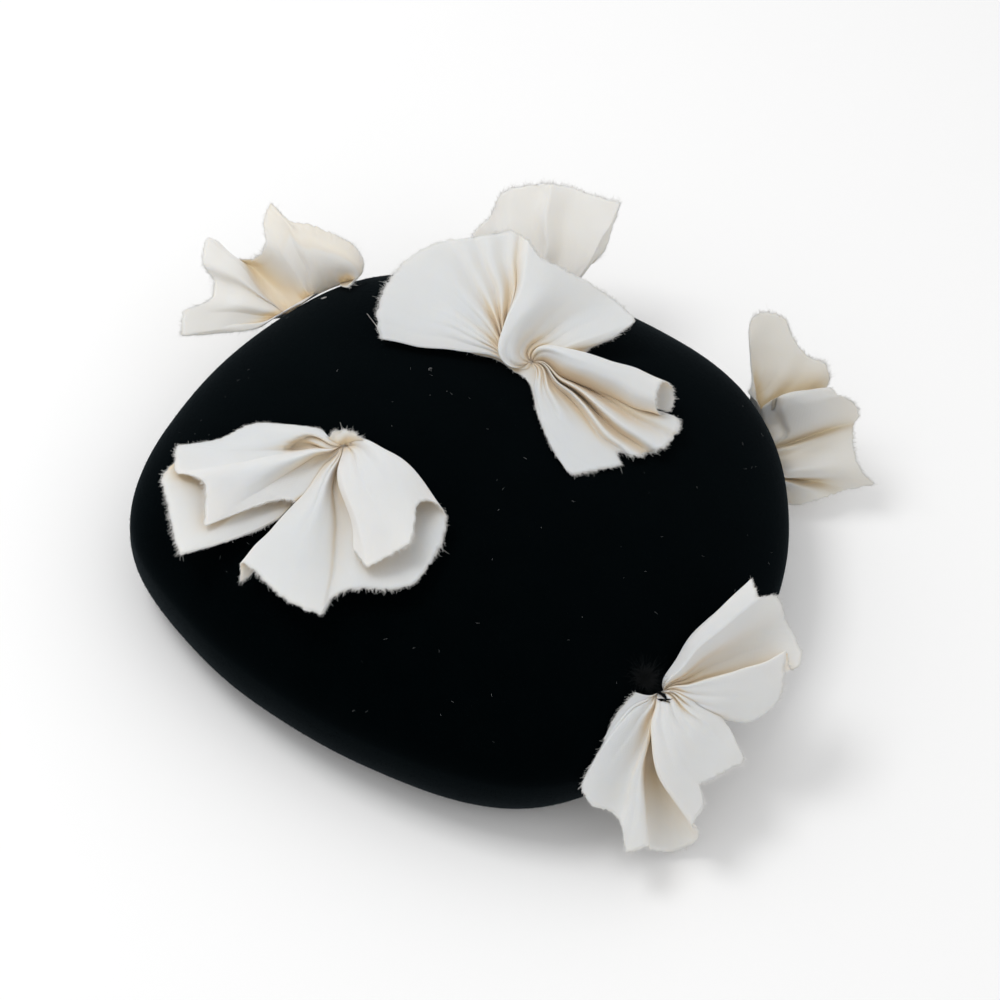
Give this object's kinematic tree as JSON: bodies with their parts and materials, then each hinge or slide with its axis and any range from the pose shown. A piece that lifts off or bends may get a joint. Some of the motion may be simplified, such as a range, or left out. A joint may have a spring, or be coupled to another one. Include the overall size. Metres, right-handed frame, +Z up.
{
  "type": "cocktail hat",
  "caption": "Rounded, hollow black velvet hat crown, open underneath, with raw-edged cream cotton bows gathered and stitched around it.",
  "frame": {"origin": "middle of the whole hat's bounding box, on the surface that its rim rests on", "axes": "+Z up, -Y the front of the hat, +X the wearer's left"},
  "size_m": [0.3458, 0.3538, 0.0972],
  "materials": {
    "velvet": "matt black cotton velvet with a short pile",
    "cotton": "plain-woven unbleached cotton, matt, with raw frayed edges"
  },
  "bodies": {
    "root": {"crown": "velvet", "bow_crest": "cotton", "bow_front": "cotton", "bow_side": "cotton", "bow_far": "cotton", "bow_crest_back": "cotton", "bow_back": "cotton"}
  },
  "joints": []
}
